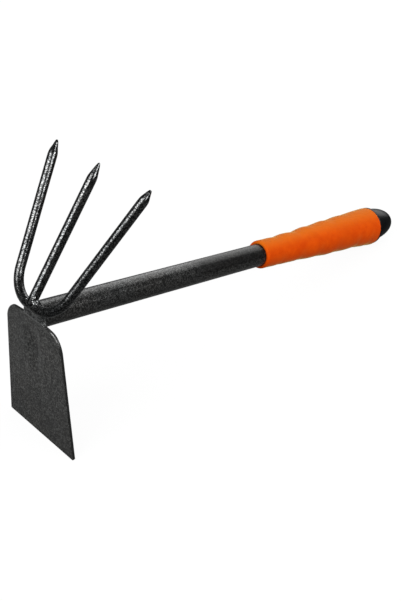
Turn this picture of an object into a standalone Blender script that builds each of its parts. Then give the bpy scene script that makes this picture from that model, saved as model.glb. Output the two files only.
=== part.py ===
"""Hand hoe with a three prong cultivator on the other side of its head.

One round steel tube carries a pressed hoe blade, a bent rod that makes the two
outer prongs, a straight rod that makes the middle prong, the weld beads that
join them, a ribbed soft sleeve and a domed end plug.

Working frame of the tool, in millimetres: X runs along the handle from the
head to the plug, Z points to the prongs and away from the blade, Y is the
width. Its origin is on the tube's axis. The empty "tool_axis" then tips that
frame about Y, so the blade's lower edge and the plug's rim both stand
on Z = 0, and centres the tool over the origin.
"""
import bpy
import bmesh
import numpy as np
from math import sin, cos, tan, pi, radians, sqrt, atan2
from mathutils import Vector

MM = 0.001
GAP = 0.3                      # clearance between touching pieces

# handle tube
TUBE_R = 8.5
TUBE_WALL = 1.2
TUBE_X0 = -0.1
TUBE_X1 = 349.0
TUBE_SIDES = 48

# prong rods
ROD_R = 3.03
ROD_SIDES = 20
FORK_X0 = -7.1                 # plane of the bent rod: x = FORK_X0 + FORK_SLOPE * z
FORK_SLOPE = 0.482
BOW_BOTTOM_T = 7.646           # height of the bent rod's bottom, measured in its plane
BOW_HALF_FLAT = 3.716
BOW_CORNER_R = 21.659
BOW_ARM_ANGLE = radians(14.296)
BOW_TIP_T = (102.55, 103.25)    # near and far prong
TINE_TIP_T = 102.8
TINE_OFFSET = -2.04            # the middle prong stands in front of the bent rod
TINE_BASE_T = 8.3
CONE_LENGTH = 8.8
TIP_R = 0.62

# hoe blade
BLADE_X0 = -3.895              # outer face: x = BLADE_X0 - BLADE_SLOPE * z
BLADE_SLOPE = 0.1708
BLADE_T = 2.0
BLADE_LENGTH = 94.7
BLADE_HALF_TOP = 27.25
BLADE_FLARE = 0.0833           # growth of the half width per mm of length
BLADE_EDGE = 0.35              # broken edges
BLADE_TOP_EDGE = 0.9           # the back of the top edge is ground off further
BLADE_BOTTOM_R = 1.0
SHOULDER_Y = 19.0
SHOULDER_S = 14.0
SHOULDER_PULL = ((5.4, 6.6), (4.5, 5.4))   # how full the near and the far shoulder are
DIMPLE_TOP = 5.6
DIMPLE_END = 38.0
DIMPLE_HALF = 7.6
DIMPLE_DEPTH = 1.7

# soft sleeve
GRIP_X0 = 204.3
GRIP_X1 = 349.4
GRIP_BORE = TUBE_R + GAP
GRIP_LIP = 1.0
GRIP_REAR_FILLET = 1.2
GRIP_SIDES = 40
GRIP_PITCH = 24.0              # spacing of the shallow ribs
GRIP_VALLEY = 224.0            # first valley
GRIP_DROP = 0.43               # the section sits slightly low on the tube
GRIP_STATIONS = ((201, 10.45), (207, 10.55), (216, 10.85), (228, 11.12), (240, 11.4), (252, 11.82),
                 (264, 12.45), (276, 13.05), (288, 13.55), (300, 14.0), (312, 14.4),
                 (324, 14.88), (336, 15.5), (349.4, 16.12))

# end plug
CAP_X0 = 349.7                 # front face of the plug's rim, behind the sleeve
CAP_RIM_R = 16.1
CAP_RIM_T = 2.3
CAP_R = 13.85
CAP_LENGTH = 31.2
CAP_POWER = 2.3
CAP_ROUND = 0.58
CAP_STEM_R = 7.0
CAP_STEM_X0 = 330.0

COLOURS = {
    "hammered_black": ((0.030, 0.032, 0.034), 0.30, 0.35),
    "orange_rubber": ((0.70, 0.120, 0.010), 0.55, 0.0),
    "black_plastic": ((0.012, 0.012, 0.013), 0.38, 0.0),
}

for _o in list(bpy.data.objects):
    bpy.data.objects.remove(_o, do_unlink=True)

root = bpy.data.objects.new("tool_axis", None)
root.empty_display_size = 0.05
bpy.context.scene.collection.objects.link(root)


def material(name, look):
    colour, rough, metal = COLOURS[look]
    mat = bpy.data.materials.new(name)
    mat.use_nodes = True
    bsdf = next(n for n in mat.node_tree.nodes if n.type == "BSDF_PRINCIPLED")
    bsdf.inputs["Base Color"].default_value = (*colour, 1.0)
    bsdf.inputs["Roughness"].default_value = rough
    bsdf.inputs["Metallic"].default_value = metal
    mat.diffuse_color = (*colour, 1.0)
    return mat


def make(name, bm, look=None, smooth=30.0, cutter=False):
    """An object from a mesh drawn in millimetres in the tool's frame."""
    bmesh.ops.remove_doubles(bm, verts=bm.verts[:], dist=1e-5)
    bmesh.ops.recalc_face_normals(bm, faces=bm.faces[:])
    if bm.calc_volume(signed=True) < 0:
        bmesh.ops.reverse_faces(bm, faces=bm.faces[:])
    bmesh.ops.scale(bm, vec=(MM, MM, MM), verts=bm.verts[:])
    mesh = bpy.data.meshes.new(name)
    bm.to_mesh(mesh)
    bm.free()
    obj = bpy.data.objects.new(name, mesh)
    bpy.context.scene.collection.objects.link(obj)
    obj.parent = root
    if cutter:
        obj.hide_render = True
        obj.display_type = "WIRE"
    else:
        mesh.materials.append(material(name + "_finish", look))
        mesh.shade_smooth()
        mesh.set_sharp_from_angle(angle=radians(smooth))
    return obj


def cut(obj, tool):
    mod = obj.modifiers.new("cut_" + tool.name, "BOOLEAN")
    mod.operation = "DIFFERENCE"
    mod.solver = "EXACT"
    mod.object = tool


def skin(bm, rings, closed=False):
    """Quads between rings of equal count, capped at both ends unless the stack is closed."""
    stack = [[bm.verts.new(p) for p in ring] for ring in rings]
    n = len(stack[0])
    pairs = list(zip(stack, stack[1:] + stack[:1])) if closed else list(zip(stack, stack[1:]))
    for a, b in pairs:
        for j in range(n):
            k = (j + 1) % n
            bm.faces.new((a[j], a[k], b[k], b[j]))
    if not closed:
        bm.faces.new(stack[0][::-1])
        bm.faces.new(stack[-1])
    return stack


def turned(profile, sides):
    """A closed or axis-to-axis profile of (x, r) spun round the tube's axis."""
    bm = bmesh.new()
    verts = [bm.verts.new((x, 0.0, r)) for x, r in profile]
    edges = [bm.edges.new((a, b)) for a, b in zip(verts, verts[1:])]
    if profile[0][1] > 1e-6:
        edges.append(bm.edges.new((verts[-1], verts[0])))
    bmesh.ops.spin(bm, geom=verts + edges, cent=(0, 0, 0), axis=(1, 0, 0),
                   dvec=(0, 0, 0), angle=2 * pi, steps=sides, use_merge=True)
    return bm


def sweep(path, radii, sides, up):
    """A round section carried along a path; up is a fixed direction across it."""
    bm = bmesh.new()
    rings = []
    for i, p in enumerate(path):
        a = path[max(i - 1, 0)]
        b = path[min(i + 1, len(path) - 1)]
        t = (b - a).normalized()
        e1 = (up - t * up.dot(t)).normalized()
        e2 = t.cross(e1)
        rings.append([p + (e1 * cos(2 * pi * j / sides) + e2 * sin(2 * pi * j / sides)) * radii[i]
                      for j in range(sides)])
    skin(bm, rings)
    return bm


def box(x0, x1, y0, y1, z0, z1):
    bm = bmesh.new()
    bmesh.ops.create_cube(bm, size=1.0)
    for v in bm.verts:
        v.co = Vector((x0 + (v.co.x + 0.5) * (x1 - x0), y0 + (v.co.y + 0.5) * (y1 - y0),
                       z0 + (v.co.z + 0.5) * (z1 - z0)))
    return bm


# frame of the fork's plane
_f = sqrt(1 + FORK_SLOPE ** 2)
FORK_O = Vector((FORK_X0, 0, 0))
FORK_D = Vector((FORK_SLOPE, 0, 1)) / _f
FORK_N = Vector((1, 0, -FORK_SLOPE)) / _f


def fork(t, y, off=0.0):
    return FORK_O + FORK_D * t + FORK_N * off + Vector((0, y, 0))


# frame of the blade's outer face
_b = sqrt(1 + BLADE_SLOPE ** 2)
BLADE_O = Vector((BLADE_X0, 0, 0))
BLADE_D = Vector((BLADE_SLOPE, 0, -1)) / _b
BLADE_N = Vector((1, 0, BLADE_SLOPE)) / _b


def plate(s, y, off=0.0):
    return BLADE_O + BLADE_D * s + BLADE_N * off + Vector((0, y, 0))


# ---------------------------------------------------------------- handle tube
def build_tube():
    ro, ri, c = TUBE_R, TUBE_R - TUBE_WALL, 0.2
    profile = [(TUBE_X0 + c, ro), (TUBE_X1 - c, ro), (TUBE_X1, ro - c), (TUBE_X1, ri + c),
               (TUBE_X1 - c, ri), (TUBE_X0 + c, ri), (TUBE_X0, ri + c), (TUBE_X0, ro - c)]
    return make("handle_tube", turned(profile, TUBE_SIDES), "hammered_black")


# ---------------------------------------------------------------- prongs
def cone_end(steps=3):
    """Distances back from the tip and radii of a slightly rounded cone."""
    pts = [(0.0, TIP_R * 0.45), (0.25, TIP_R * 0.85), (0.7, TIP_R * 1.25)]
    for k in range(1, steps + 1):
        d = 0.7 + (CONE_LENGTH - 0.7) * k / steps
        pts.append((d, TIP_R * 1.25 + (ROD_R - TIP_R * 1.25) * k / steps))
    pts.append((CONE_LENGTH + 1.2, ROD_R))
    return pts


def bow_path(extra=0.0):
    """Half of the bent rod from the middle of its bottom to the end of one prong, in (t, y)."""
    pts = [(BOW_BOTTOM_T, 0.0), (BOW_BOTTOM_T, BOW_HALF_FLAT)]
    turn = pi / 2 - BOW_ARM_ANGLE
    n = 11
    for k in range(1, n + 1):
        a = turn * k / n
        pts.append((BOW_BOTTOM_T + BOW_CORNER_R * (1 - cos(a)), BOW_HALF_FLAT + BOW_CORNER_R * sin(a)))
    return pts


def build_bow():
    half = bow_path()
    t1, y1 = half[-1]
    sides = []
    for tip in BOW_TIP_T:
        length = (tip - t1) / cos(BOW_ARM_ANGLE)
        arm = []
        for d, r in reversed(cone_end()):
            q = length - d
            arm.append((t1 + q * cos(BOW_ARM_ANGLE), y1 + q * sin(BOW_ARM_ANGLE), r))
        sides.append([(t, y, ROD_R) for t, y in half] + arm)
    full = [(t, -y, r) for t, y, r in reversed(sides[0][1:])] + sides[1]
    path = [fork(t, y) for t, y, r in full]
    return make("tine_bow", sweep(path, [r for t, y, r in full], ROD_SIDES, FORK_N), "hammered_black")


def bow_cutter(name, r):
    half = bow_path()
    full = [(t, -y) for t, y in reversed(half[1:])] + half
    path = [fork(t, y) for t, y in full]
    return make(name, sweep(path, [r] * len(path), 28, FORK_N), cutter=True)


def build_centre_tine():
    cone = cone_end()
    stations = [(TINE_BASE_T, ROD_R - 0.25), (TINE_BASE_T + 0.25, ROD_R)]
    stations += [(TINE_TIP_T - d, r) for d, r in reversed(cone)]
    path = [fork(t, 0, TINE_OFFSET) for t, r in stations]
    return make("centre_tine", sweep(path, [r for t, r in stations], ROD_SIDES, FORK_N), "hammered_black")


# ---------------------------------------------------------------- hoe blade
def top_edge(y):
    return 0.3 + 0.0035 * y * y


def blade_outline(pull):
    """Half outline from the middle of the top edge round to the middle of the bottom, in (s, y)."""
    pts = [(top_edge(SHOULDER_Y * k / 6), SHOULDER_Y * k / 6) for k in range(7)]
    s0, y0 = pts[-1]
    y3 = BLADE_HALF_TOP + BLADE_FLARE * SHOULDER_S
    h0, h1 = pull
    d0 = (0.007 * SHOULDER_Y, 1.0)
    p1 = (s0 + h0 * d0[0], y0 + h0 * d0[1])
    p2 = (SHOULDER_S - h1, y3 - h1 * BLADE_FLARE)
    for k in range(1, 10):
        u = k / 9
        w = ((1 - u) ** 3, 3 * u * (1 - u) ** 2, 3 * u * u * (1 - u), u ** 3)
        pts.append(tuple(w[0] * a + w[1] * b + w[2] * c + w[3] * d
                         for a, b, c, d in zip((s0, y0), p1, p2, (SHOULDER_S, y3))))
    s_end = BLADE_LENGTH - BLADE_BOTTOM_R
    for k in range(1, 7):
        s = SHOULDER_S + (s_end - SHOULDER_S) * k / 6
        pts.append((s, BLADE_HALF_TOP + BLADE_FLARE * s))
    yc = BLADE_HALF_TOP + BLADE_FLARE * s_end - BLADE_BOTTOM_R
    for k in range(1, 5):
        a = pi / 2 * k / 4
        pts.append((s_end + BLADE_BOTTOM_R * sin(a), yc + BLADE_BOTTOM_R * cos(a)))
    for k in range(1, 5):
        pts.append((BLADE_LENGTH, yc * (1 - k / 4)))
    return pts


def dimple_depth(s, y):
    """Depth of the pressed hollow at (s, y), fading at its lower end."""
    def step(a, b, v):
        v = min(max((v - a) / (b - a), 0.0), 1.0)
        return v * v * (3 - 2 * v)
    along = step(DIMPLE_TOP, DIMPLE_TOP + 9.0, s) * (1 - step(24.0, DIMPLE_END, s))
    if s < DIMPLE_TOP + DIMPLE_HALF:
        half = DIMPLE_HALF * sqrt(max(1 - ((DIMPLE_TOP + DIMPLE_HALF - s) / DIMPLE_HALF) ** 2, 1e-6))
    else:
        half = DIMPLE_HALF * (1 - 0.62 * step(22.0, DIMPLE_END, s))
    return DIMPLE_DEPTH * along * (1 - step(0.35, 1.0, abs(y) / half))


def build_blade():
    near, far = (blade_outline(pull) for pull in SHOULDER_PULL)
    outline = far + [(s, -y) for s, y in reversed(near[1:-1])]
    n = len(outline)
    centre = (20.0, 0.0)

    def inset_ring(amounts):
        out = []
        for j in range(n):
            (s0, y0), (s1, y1), (s2, y2) = outline[j - 1], outline[j], outline[(j + 1) % n]
            e1 = Vector((s1 - s0, y1 - y0)).normalized()
            e2 = Vector((s2 - s1, y2 - y1)).normalized()
            n1, n2 = Vector((-e1.y, e1.x)), Vector((-e2.y, e2.x))
            m = (n1 + n2).normalized()
            m /= max(m.dot(n1), 0.5)
            if m.dot(Vector((centre[0] - s1, centre[1] - y1))) < 0:
                m = -m
            out.append((s1 + m.x * amounts[j], y1 + m.y * amounts[j]))
        return out

    def dimple_radius(angle):
        """Distance from the centre to the hollow's rim in one direction."""
        lo, hi = 0.5, 40.0
        ds, dy = cos(angle), sin(angle)
        for _ in range(40):
            mid = (lo + hi) / 2
            s, y = centre[0] + ds * mid, centre[1] + dy * mid
            inside = DIMPLE_TOP < s < DIMPLE_END
            if inside:
                if s < DIMPLE_TOP + DIMPLE_HALF:
                    w = DIMPLE_HALF * sqrt(1 - ((DIMPLE_TOP + DIMPLE_HALF - s) / DIMPLE_HALF) ** 2)
                else:
                    w = DIMPLE_HALF * sqrt(max(1 - ((s - DIMPLE_TOP - DIMPLE_HALF) /
                                                    (DIMPLE_END - DIMPLE_TOP - DIMPLE_HALF)) ** 2.4, 0))
                inside = abs(y) < w
            lo, hi = (mid, hi) if inside else (lo, mid)
        return lo

    inner = inset_ring([BLADE_EDGE] * n)
    back_edge = [BLADE_EDGE + (BLADE_TOP_EDGE - BLADE_EDGE) * min(max((13.0 - s) / 6.0, 0.0), 1.0)
                 for s, y in outline]
    inner_back = inset_ring(back_edge)
    angles = [atan2(y - centre[1], s - centre[0]) for s, y in inner]
    rims = [dimple_radius(a) for a in angles]
    scales = (1.0, 0.84, 0.68, 0.50, 0.30, 0.12)

    bm = bmesh.new()
    rings = []

    def hollow_ring(q, off, back):
        ring = []
        for a, r in zip(angles, rims):
            s, y = centre[0] + cos(a) * r * q, centre[1] + sin(a) * r * q
            d = dimple_depth(s, y) if q < 0.999 else 0.0
            if back:
                lead = min(max((s - 11.2) / 3.4, 0.0), 1.0)
                d *= lead * lead * (3 - 2 * lead)
            ring.append(plate(s, y, off + d))
        return ring

    for q in reversed(scales):
        rings.append(hollow_ring(q, 0.0, False))
    rings.append([plate(s, y, 0.0) for s, y in inner])
    rings.append([plate(s, y, BLADE_EDGE) for s, y in outline])
    rings.append([plate(s, y, BLADE_T - e) for (s, y), e in zip(outline, back_edge)])
    rings.append([plate(s, y, BLADE_T) for s, y in inner_back])
    for q in scales:
        rings.append(hollow_ring(q, BLADE_T, True))
    skin(bm, rings)
    bmesh.ops.triangulate(bm, faces=[f for f in bm.faces if len(f.verts) > 4])
    return make("hoe_blade", bm, "hammered_black", smooth=24.0)


# ---------------------------------------------------------------- weld beads
def bead(name, path, radius, ripple, up, squash=1.0, sides=14):
    """A bead laid along a path, with rounded ends and overlapping puddles."""
    n = len(path)
    radii = []
    for i in range(n):
        u = i / (n - 1)
        end = min(u, 1 - u) * 7.0
        end = sqrt(max(1 - (1 - min(end, 1)) ** 2, 0.02))
        radii.append(radius * end * (1 + ripple * abs(sin(pi * 5.5 * u))))
    bm = sweep(path, radii, sides, up)
    return make(name, bm, "hammered_black", smooth=60.0)


def tube_cutter(name, x0):
    bm = turned([(x0, 0.0), (x0, TUBE_R + GAP), (40.0, TUBE_R + GAP), (40.0, 0.0)], 64)
    return make(name, bm, cutter=True)


def build_welds(bow_cut, tine_cut):
    full_tube = tube_cutter("guide_tube_long", -12.0)
    tube_end = tube_cutter("guide_tube_end", TUBE_X0 - GAP)

    # slab of the blade with its clearance, open downwards
    bm = bmesh.new()
    top = top_edge(8.0) - 0.3 - GAP
    corners = [(top, -40), (BLADE_LENGTH, -40), (BLADE_LENGTH, 40), (top, 40)]
    skin(bm, [[plate(s, y, -GAP) for s, y in corners],
              [plate(s, y, BLADE_T + GAP) for s, y in corners]])
    slab = make("guide_blade", bm, cutter=True)

    # between the bent rod and the blade's top edge, over the tube's end
    up = Vector((1, 0, 0))
    path = [Vector((-2.35, y, 2.0)) for y in np.linspace(-9.4, 8.8, 25)]
    front = bead("weld_front", path, 2.45, 0.05, up)
    cut(front, bow_cut)
    cut(front, tube_end)
    cut(front, make("guide_front_floor", box(-12, 6, -20, 20, -12, GAP + 0.05), cutter=True))

    # round the lower half of the tube's end, on the back of the blade
    path = []
    for a in np.linspace(radians(184), radians(356), 35):
        y, z = 9.15 * cos(a), 9.15 * sin(a)
        x = BLADE_X0 + BLADE_T * _b - BLADE_SLOPE * z + 0.75
        path.append(Vector((x, y, z)))
    low = bead("weld_blade", path, 1.65, 0.07, up)
    cut(low, full_tube)
    cut(low, slab)
    cut(low, make("guide_blade_roof", box(-12, 20, -20, 20, -0.25, 12), cutter=True))

    # between the bent rod and the top of the tube's end
    path = []
    for a in np.linspace(radians(43), radians(137), 21):
        path.append(Vector((-0.15, 9.35 * cos(a), 9.35 * sin(a))))
    top_bead = bead("weld_bow", path, 1.5, 0.07, up)
    cut(top_bead, bow_cut)
    cut(top_bead, tube_end)
    cut(top_bead, tine_cut)

    # at both sides of the middle prong's base
    for name, side in (("weld_tine_near", -1), ("weld_tine_far", 1)):
        bm = bmesh.new()
        bmesh.ops.create_uvsphere(bm, u_segments=20, v_segments=12, radius=1.0)
        for v in bm.verts:
            v.co = fork(10.45 + 1.9 * v.co.z, side * 4.0 + 1.75 * v.co.y, -2.1 + 2.0 * v.co.x)
        blob = make(name, bm, "hammered_black", smooth=60.0)
        cut(blob, bow_cut)
        cut(blob, tine_cut)


# ---------------------------------------------------------------- sleeve and plug
def grip_radius(x, angle):
    """Outer radius of the sleeve at x; angle is 0 on the prong side."""
    xs = [p[0] for p in GRIP_STATIONS]
    rs = [p[1] for p in GRIP_STATIONS]
    base = sum(float(np.interp(x + d, xs, rs)) for d in (-6, -3, 0, 3, 6)) / 5
    fade = min(max((x - GRIP_VALLEY) / 96.0, 0.0), 1.0)
    wave = sqrt(sin(pi * (x - GRIP_VALLEY) / GRIP_PITCH) ** 2 + 0.012) - 0.62
    if x > 336:
        wave *= max(1 - (x - 336) / 12.0, 0.0)
    if x < 212:
        wave *= max((x - 204.0) / 8.0, 0.0)
    drop = GRIP_DROP * min(max((x - 204.0) / 20.0, 0.0), 1.0)
    upper = base - drop + (0.80 - 0.50 * fade) * wave
    lower = base + drop + (0.40 - 0.15 * fade) * wave
    w = 0.5 + 0.5 * cos(angle)
    return upper * w + lower * (1 - w)


def build_grip():
    outer = []
    lip, fil = GRIP_LIP, GRIP_REAR_FILLET
    for k in range(4):
        a = pi / 2 * k / 4
        outer.append((GRIP_X0 + lip * (1 - cos(a)) * 1.4, -lip * (1 - sin(a))))
    x = GRIP_X0 + lip * 1.4
    stop = GRIP_X1 - fil
    n = 46
    for k in range(n + 1):
        outer.append((x + (stop - x) * k / n, 0.0))
    for k in range(1, 5):
        a = pi / 2 * k / 4
        outer.append((stop + fil * sin(a), -fil * (1 - cos(a))))
    bm = bmesh.new()
    rings = []
    for x, dr in outer:
        ring = []
        for j in range(GRIP_SIDES):
            a = 2 * pi * j / GRIP_SIDES
            r = grip_radius(x, a) + dr
            ring.append(Vector((x, r * sin(a), r * cos(a))))
        rings.append(ring)
    for x, r in ((GRIP_X1, GRIP_BORE + 0.2), (GRIP_X1 - 0.2, GRIP_BORE),
                 (GRIP_X0 + 0.3, GRIP_BORE), (GRIP_X0, GRIP_BORE + 0.3)):
        rings.append([Vector((x, r * sin(2 * pi * j / GRIP_SIDES), r * cos(2 * pi * j / GRIP_SIDES)))
                      for j in range(GRIP_SIDES)])
    skin(bm, rings, closed=True)
    return make("grip_sleeve", bm, "orange_rubber", smooth=40.0)


def build_cap():
    profile = [(CAP_STEM_X0, 0.0), (CAP_STEM_X0, CAP_STEM_R - 0.8), (CAP_STEM_X0 + 0.8, CAP_STEM_R),
               (CAP_X0, CAP_STEM_R), (CAP_X0, CAP_RIM_R - 0.3), (CAP_X0 + 0.3, CAP_RIM_R)]
    x = CAP_X0 + CAP_RIM_T
    profile += [(x - 0.6, CAP_RIM_R), (x - 0.18, CAP_RIM_R - 0.35), (x, CAP_RIM_R - 0.9), (x, CAP_R)]
    n = 20
    for k in range(1, n + 1):
        u = sin(pi / 2 * k / n) if k < n else 1.0
        r = CAP_R * max(1 - u ** CAP_POWER, 0.0) ** CAP_ROUND
        profile.append((x + CAP_LENGTH * u, r))
    bm = turned(profile, 44)
    for v in bm.verts:
        if v.co.yz.length > CAP_R + 0.5:
            v.co.z -= GRIP_DROP            # the rim lines up with the sleeve
    return make("end_cap", bm, "black_plastic", smooth=40.0)


tube = build_tube()
bow = build_bow()
tine = build_centre_tine()
blade = build_blade()
grip = build_grip()
cap = build_cap()

bow_cut = bow_cutter("guide_bow", ROD_R + GAP)
tine_axis = [fork(t, 0, TINE_OFFSET) for t in (TINE_BASE_T - 4.0, TINE_BASE_T + 16.0)]
tine_cut = make("guide_tine", sweep(tine_axis, [ROD_R + GAP] * 2, 28, FORK_N), cutter=True)
cut(tine, bow_cut)
build_welds(bow_cut, tine_cut)

# ---------------------------------------------------------------- resting pose
def lowest(obj, angle):
    return min(-v.co.x * sin(angle) + v.co.z * cos(angle) for v in obj.data.vertices)


low_a, high_a = radians(8), radians(18)
for _ in range(50):
    mid_a = (low_a + high_a) / 2
    if lowest(blade, mid_a) < min(lowest(grip, mid_a), lowest(cap, mid_a)):
        low_a = mid_a
    else:
        high_a = mid_a
TILT = (low_a + high_a) / 2
root.rotation_euler = (0.0, TILT, 0.0)

xs, ys, zs = [], [], []
for obj in (tube, bow, tine, blade, grip, cap):
    for v in obj.data.vertices:
        xs.append(v.co.x * cos(TILT) + v.co.z * sin(TILT))
        ys.append(v.co.y)
        zs.append(-v.co.x * sin(TILT) + v.co.z * cos(TILT))
root.location = (-(min(xs) + max(xs)) / 2, -(min(ys) + max(ys)) / 2, -min(zs))
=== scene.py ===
import math
from math import sin, cos, pi, radians, sqrt

import bpy
import bmesh
import numpy as np
from mathutils import Matrix, Vector


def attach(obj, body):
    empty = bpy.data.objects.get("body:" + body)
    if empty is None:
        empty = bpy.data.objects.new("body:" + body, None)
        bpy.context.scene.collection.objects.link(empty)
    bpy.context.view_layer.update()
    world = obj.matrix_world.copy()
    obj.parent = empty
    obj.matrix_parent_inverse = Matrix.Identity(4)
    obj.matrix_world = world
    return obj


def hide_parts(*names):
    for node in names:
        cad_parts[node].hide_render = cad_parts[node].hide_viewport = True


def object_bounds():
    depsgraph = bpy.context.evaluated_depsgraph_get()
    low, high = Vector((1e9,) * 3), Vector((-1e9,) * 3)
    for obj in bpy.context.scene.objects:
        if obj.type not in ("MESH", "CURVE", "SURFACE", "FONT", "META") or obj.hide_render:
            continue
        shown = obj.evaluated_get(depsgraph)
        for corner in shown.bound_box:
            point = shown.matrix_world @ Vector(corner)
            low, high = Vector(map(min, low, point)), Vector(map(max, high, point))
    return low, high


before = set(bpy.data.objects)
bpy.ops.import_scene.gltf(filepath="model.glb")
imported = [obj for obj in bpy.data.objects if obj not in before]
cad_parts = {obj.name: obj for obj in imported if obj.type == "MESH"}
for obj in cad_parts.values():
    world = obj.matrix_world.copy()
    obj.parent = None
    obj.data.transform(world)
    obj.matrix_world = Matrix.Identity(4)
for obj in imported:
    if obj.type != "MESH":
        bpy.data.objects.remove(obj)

CAD_BOX = [list(c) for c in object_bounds()]
MM = 0.001

# The tool's own frame: millimetres, X from the head to the plug, Z towards the prongs.
TILT = radians(12.769541993)
SHIFT = np.array([-182.4693531, -0.0891872, 93.7911421])
_c, _s = cos(TILT), sin(TILT)
TURN = np.array([[_c, 0.0, _s], [0.0, 1.0, 0.0], [-_s, 0.0, _c]])


def place(P, inside=True):
    """Tool frame in millimetres to the scene's metres, kept inside the CAD box."""
    W = (np.asarray(P, float) @ TURN.T + SHIFT) * MM
    return np.clip(W, np.array(CAD_BOX[0]) + 1e-6, np.array(CAD_BOX[1]) - 1e-6) if inside else W


# ------------------------------------------------------------------ sizes
GAP = 0.3
TUBE_R, TUBE_WALL, TUBE_X0, TUBE_X1 = 8.5, 1.2, -0.1, 349.0
ROD_R = 3.03
FORK_X0, FORK_SLOPE = -7.1, 0.482
BOW_T, BOW_FLAT, BOW_R, BOW_ARM = 7.646, 3.716, 21.659, radians(14.296)
BOW_TIPS = (102.55, 103.25)
TINE_TIP, TINE_OFF, TINE_BASE = 102.8, -2.04, 8.3
CONE, TIP_R = 8.8, 0.62
FILM = 0.12                            # thickness of the enamel over the bare steel
BLADE_X0, BLADE_SLOPE, BLADE_T, BLADE_LEN = -3.895, 0.1708, 2.0, 94.7
BLADE_HALF, BLADE_FLARE = 27.25, 0.0833
SHOULDER_Y, SHOULDER_S = 19.0, 14.0
PULL_NEAR, PULL_FAR = (5.4, 6.6), (4.5, 5.4)
DIMPLE_TOP, DIMPLE_END, DIMPLE_HALF, DIMPLE_DEPTH = 5.6, 38.0, 7.6, 1.7
GRIP_X0, GRIP_X1 = 204.3, 348.85
# radius of the sleeve towards the prongs and towards the blade: it thickens to the rear, with soft hand-cut ribs
GRIP_UPPER = ((204, 11.05), (207, 11.15), (209, 11.17), (211.5, 11.03), (214, 10.97), (218.5, 10.97), (221, 10.90), (223, 10.70),
              (225.2, 10.50), (227, 10.63), (229, 10.90), (232, 11.33), (235, 11.62), (238, 11.58), (241, 11.47), (244, 11.27),
              (246.5, 11.00), (248.2, 10.85), (250, 11.05), (252.5, 11.52), (256, 12.02), (260, 12.55), (263, 12.80), (266, 12.62),
              (269.5, 12.46), (271.5, 12.50), (273.5, 12.74), (277, 13.02), (281, 13.38), (285, 13.76), (288.5, 13.86), (291, 13.62),
              (294, 13.55), (296.5, 13.64), (299, 13.92), (303, 14.28), (307, 14.57), (311, 14.70), (315, 14.62), (318.5, 14.62),
              (321, 14.84), (325, 15.05), (330, 15.35), (336, 15.56), (340, 15.70), (345, 15.88), (352, 15.92))
GRIP_LOWER = ((204, 10.75), (207, 10.87), (210, 10.85), (213, 10.97), (217, 11.15), (221, 11.14), (224, 11.08), (227, 11.42),
              (231, 11.63), (236, 11.78), (241, 11.90), (245, 11.85), (248, 11.78), (250, 12.03), (254, 12.43), (258, 12.80),
              (263, 13.05), (267, 13.09), (271, 13.08), (274, 13.32), (278, 13.80), (282, 14.17), (287, 14.27), (291, 14.15),
              (295, 14.05), (297.5, 14.18), (302, 14.50), (306, 14.68), (310, 14.88), (315, 14.81), (319, 14.70), (321.8, 14.52),
              (324, 14.80), (327, 15.22), (331, 15.57), (335, 15.97), (338.5, 15.90), (341, 16.06), (344, 16.48), (348, 16.72), (352, 16.72))
GRIP_VALLEYS = (212.5, 225.0, 248.0, 270.5, 294.5, 320.5, 339.0)
RIM_X0, RIM_R, RIM_DROP = 349.15, 16.1, 0.43
CAP_X0, CAP_R, CAP_LEN, CAP_POWER, CAP_ROUND = 352.0, 13.95, 30.6, 2.3, 0.525

_f = sqrt(1 + FORK_SLOPE ** 2)
FO = np.array([FORK_X0, 0, 0.0])
FD = np.array([FORK_SLOPE, 0, 1]) / _f
FN = np.array([1, 0, -FORK_SLOPE]) / _f
_b = sqrt(1 + BLADE_SLOPE ** 2)
BO = np.array([BLADE_X0, 0, 0.0])
BD = np.array([BLADE_SLOPE, 0, -1]) / _b
BN = np.array([1, 0, BLADE_SLOPE]) / _b
YY = np.array([0, 1.0, 0])


def fork(t, y, o=0.0):
    return FO + np.multiply.outer(t, FD) + np.multiply.outer(y, YY) + np.multiply.outer(o, FN)


def plate(s, y, o=0.0):
    return BO + np.multiply.outer(s, BD) + np.multiply.outer(y, YY) + np.multiply.outer(o, BN)


# ------------------------------------------------------------------ noise, the same each run
def _hash(ix, iy, iz, salt):
    h = (ix.astype(np.int64) * 73856093) ^ (iy.astype(np.int64) * 19349663) ^ (iz.astype(np.int64) * 83492791) ^ (salt * 2654435761 % 4294967296)
    h = (h ^ (h >> 13)) * 1274126177 & 0xFFFFFFFF
    h = (h ^ (h >> 16)) * 2246822519 & 0xFFFFFFFF
    h = h ^ (h >> 15)
    return (h & 0xFFFFFF) / float(0xFFFFFF)


def lattice(P, cell, salt=1):
    """Smooth value noise, 0 to 1."""
    Q = P / cell
    I = np.floor(Q)
    F = Q - I
    F = F * F * (3 - 2 * F)
    I = I.astype(np.int64)
    out = 0
    for dx in (0, 1):
        for dy in (0, 1):
            for dz in (0, 1):
                w = (F[:, 0] if dx else 1 - F[:, 0]) * (F[:, 1] if dy else 1 - F[:, 1]) * (F[:, 2] if dz else 1 - F[:, 2])
                out = out + w * _hash(I[:, 0] + dx, I[:, 1] + dy, I[:, 2] + dz, salt)
    return out


def cells(P, cell, salt=1):
    """Distance to the nearest scattered point, in cells."""
    Q = P / cell
    I = np.floor(Q).astype(np.int64)
    best = np.full(len(P), 9.0)
    for dx in (-1, 0, 1):
        for dy in (-1, 0, 1):
            for dz in (-1, 0, 1):
                J = I + (dx, dy, dz)
                C = J + np.stack([_hash(J[:, 0], J[:, 1], J[:, 2], salt + k) for k in (11, 23, 37)], 1)
                best = np.minimum(best, ((Q - C) ** 2).sum(1))
    return np.sqrt(best)


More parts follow.
